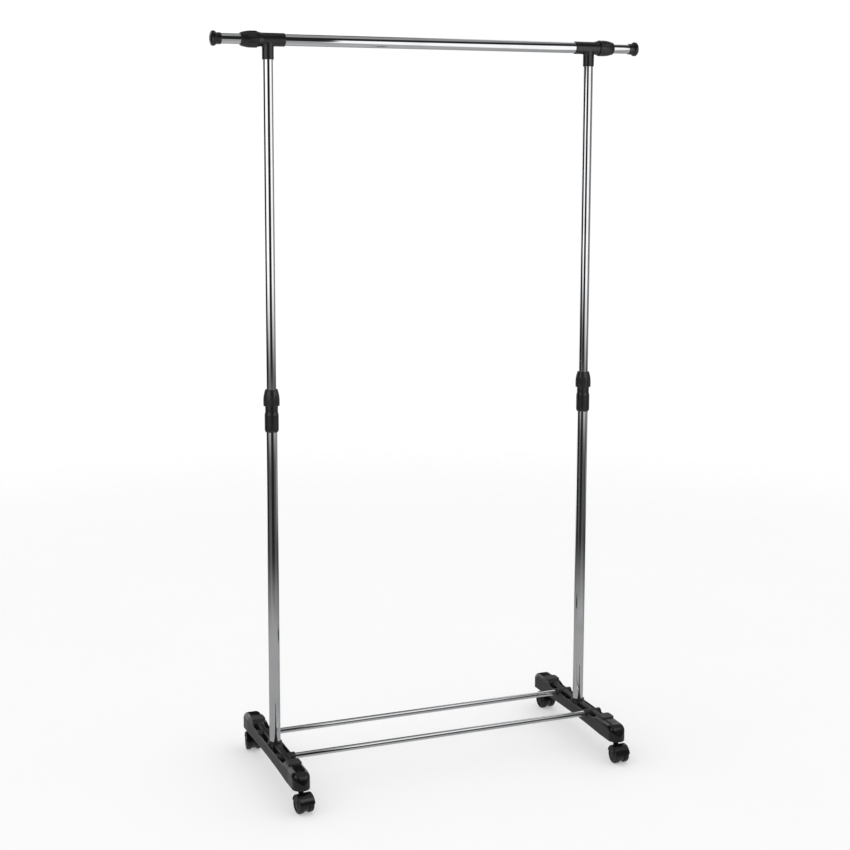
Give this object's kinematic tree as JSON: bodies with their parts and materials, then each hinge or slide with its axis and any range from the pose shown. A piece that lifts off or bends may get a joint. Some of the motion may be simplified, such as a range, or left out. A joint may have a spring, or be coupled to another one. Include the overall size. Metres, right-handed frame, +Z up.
{
  "type": "rolling clothes rack",
  "caption": "Rolling clothes rack with chromed telescopic posts and hanging bar, twist-lock collars, black moulded feet and swivel casters.",
  "frame": {"origin": "on the floor, midway between the two posts", "axes": "+X along the hanging bar to the rack's right, +Y to the rear, +Z up"},
  "size_m": [1.0246, 0.4489, 1.668],
  "materials": {
    "moulded_foot": "satin black",
    "wheel_plastic": "glossy black",
    "caster_plastic": "glossy black",
    "chromed_tube": "polished chrome plating",
    "natural_nylon": "natural, slightly translucent",
    "insert_plastic": "black",
    "spring_steel": "dark spring steel",
    "zinc_steel": "bright zinc plating",
    "moulded_fitting": "satin black",
    "nut_plastic": "satin black",
    "cap_plastic": "satin black"
  },
  "bodies": {
    "base": {"left_foot": "moulded_foot", "right_foot": "moulded_foot", "front_base_rod": "chromed_tube", "rear_base_rod": "chromed_tube", "left_lower_post": "chromed_tube", "right_lower_post": "chromed_tube", "left_post_insert": "insert_plastic", "right_post_insert": "insert_plastic", "left_post_bolt": "zinc_steel", "right_post_bolt": "zinc_steel", "bolt_washers": "zinc_steel", "rod_screws": "zinc_steel", "left_collar_sleeve": "moulded_fitting", "right_collar_sleeve": "moulded_fitting", "left_collar_collet": "natural_nylon", "right_collar_collet": "natural_nylon", "front_left_caster_stem": "zinc_steel", "front_right_caster_stem": "zinc_steel", "rear_left_caster_stem": "zinc_steel", "rear_right_caster_stem": "zinc_steel", "stem_grip_rings": "spring_steel"},
    "upper_frame": {"left_upper_post": "chromed_tube", "right_upper_post": "chromed_tube", "left_post_bush": "natural_nylon", "right_post_bush": "natural_nylon", "left_tee": "moulded_fitting", "right_tee": "moulded_fitting", "main_bar": "chromed_tube", "left_bar_collet": "natural_nylon", "right_bar_collet": "natural_nylon"},
    "left_collar_nut": {"left_collar_nut": "nut_plastic"},
    "left_bar_nut": {"left_bar_nut": "nut_plastic"},
    "left_extension": {"left_extension_bar": "chromed_tube", "left_end_cap": "cap_plastic", "left_bar_bush": "natural_nylon"},
    "right_collar_nut": {"right_collar_nut": "nut_plastic"},
    "right_bar_nut": {"right_bar_nut": "nut_plastic"},
    "right_extension": {"right_extension_bar": "chromed_tube", "right_end_cap": "cap_plastic", "right_bar_bush": "natural_nylon"},
    "front_left_caster": {"front_left_caster_body": "caster_plastic", "front_left_caster_axle": "zinc_steel"},
    "front_left_caster_left_wheel": {"front_left_caster_left_wheel": "wheel_plastic"},
    "front_left_caster_right_wheel": {"front_left_caster_right_wheel": "wheel_plastic"},
    "front_right_caster": {"front_right_caster_body": "caster_plastic", "front_right_caster_axle": "zinc_steel"},
    "front_right_caster_left_wheel": {"front_right_caster_left_wheel": "wheel_plastic"},
    "front_right_caster_right_wheel": {"front_right_caster_right_wheel": "wheel_plastic"},
    "rear_left_caster": {"rear_left_caster_body": "caster_plastic", "rear_left_caster_axle": "zinc_steel"},
    "rear_left_caster_left_wheel": {"rear_left_caster_left_wheel": "wheel_plastic"},
    "rear_left_caster_right_wheel": {"rear_left_caster_right_wheel": "wheel_plastic"},
    "rear_right_caster": {"rear_right_caster_body": "caster_plastic", "rear_right_caster_axle": "zinc_steel"},
    "rear_right_caster_left_wheel": {"rear_right_caster_left_wheel": "wheel_plastic"},
    "rear_right_caster_right_wheel": {"rear_right_caster_right_wheel": "wheel_plastic"}
  },
  "joints": [
    {"name": "height_slide", "type": "slide", "parent": "base", "child": "upper_frame", "axis": [0, 0, 1], "range_m": [-0.685, 0.03]},
    {"name": "left_collar_nut_turn", "type": "hinge", "parent": "base", "child": "left_collar_nut", "pos_m": [-0.385, 0, 0.875], "axis": [0, 0, 1], "range_deg": [0, 150]},
    {"name": "left_bar_nut_turn", "type": "hinge", "parent": "upper_frame", "child": "left_bar_nut", "pos_m": [-0.428, 0, 1.65], "axis": [-1, 0, 0], "range_deg": [0, 150]},
    {"name": "left_extension_slide", "type": "slide", "parent": "upper_frame", "child": "left_extension", "axis": [-1, 0, 0], "range_m": [-0.04, 0.228]},
    {"name": "right_collar_nut_turn", "type": "hinge", "parent": "base", "child": "right_collar_nut", "pos_m": [0.385, 0, 0.875], "axis": [0, 0, 1], "range_deg": [0, 150]},
    {"name": "right_bar_nut_turn", "type": "hinge", "parent": "upper_frame", "child": "right_bar_nut", "pos_m": [0.428, 0, 1.65], "axis": [1, 0, 0], "range_deg": [0, 150]},
    {"name": "right_extension_slide", "type": "slide", "parent": "upper_frame", "child": "right_extension", "axis": [1, 0, 0], "range_m": [-0.04, 0.228]},
    {"name": "front_left_caster_swivel", "type": "hinge", "parent": "base", "child": "front_left_caster", "pos_m": [-0.385, -0.195, 0.0445], "axis": [0, 0, 1], "continuous": true},
    {"name": "front_left_left_wheel_spin", "type": "hinge", "parent": "front_left_caster", "child": "front_left_caster_left_wheel", "pos_m": [-0.38291, -0.20985, 0.02], "axis": [0.9903, 0.1392, 0], "continuous": true},
    {"name": "front_left_right_wheel_spin", "type": "hinge", "parent": "front_left_caster", "child": "front_left_caster_right_wheel", "pos_m": [-0.38291, -0.20985, 0.02], "axis": [0.9903, 0.1392, 0], "continuous": true},
    {"name": "front_right_caster_swivel", "type": "hinge", "parent": "base", "child": "front_right_caster", "pos_m": [0.385, -0.195, 0.0445], "axis": [0, 0, 1], "continuous": true},
    {"name": "front_right_left_wheel_spin", "type": "hinge", "parent": "front_right_caster", "child": "front_right_caster_left_wheel", "pos_m": [0.38552, -0.20999, 0.02], "axis": [0.9994, 0.0349, 0], "continuous": true},
    {"name": "front_right_right_wheel_spin", "type": "hinge", "parent": "front_right_caster", "child": "front_right_caster_right_wheel", "pos_m": [0.38552, -0.20999, 0.02], "axis": [0.9994, 0.0349, 0], "continuous": true},
    {"name": "rear_left_caster_swivel", "type": "hinge", "parent": "base", "child": "rear_left_caster", "pos_m": [-0.385, 0.195, 0.0445], "axis": [0, 0, 1], "continuous": true},
    {"name": "rear_left_left_wheel_spin", "type": "hinge", "parent": "rear_left_caster", "child": "rear_left_caster_left_wheel", "pos_m": [-0.38709, 0.18015, 0.02], "axis": [0.9903, -0.1392, 0], "continuous": true},
    {"name": "rear_left_right_wheel_spin", "type": "hinge", "parent": "rear_left_caster", "child": "rear_left_caster_right_wheel", "pos_m": [-0.38709, 0.18015, 0.02], "axis": [0.9903, -0.1392, 0], "continuous": true},
    {"name": "rear_right_caster_swivel", "type": "hinge", "parent": "base", "child": "rear_right_caster", "pos_m": [0.385, 0.195, 0.0445], "axis": [0, 0, 1], "continuous": true},
    {"name": "rear_right_left_wheel_spin", "type": "hinge", "parent": "rear_right_caster", "child": "rear_right_caster_left_wheel", "pos_m": [0.38709, 0.18015, 0.02], "axis": [0.9903, 0.1392, 0], "continuous": true},
    {"name": "rear_right_right_wheel_spin", "type": "hinge", "parent": "rear_right_caster", "child": "rear_right_caster_right_wheel", "pos_m": [0.38709, 0.18015, 0.02], "axis": [0.9903, 0.1392, 0], "continuous": true}
  ]
}
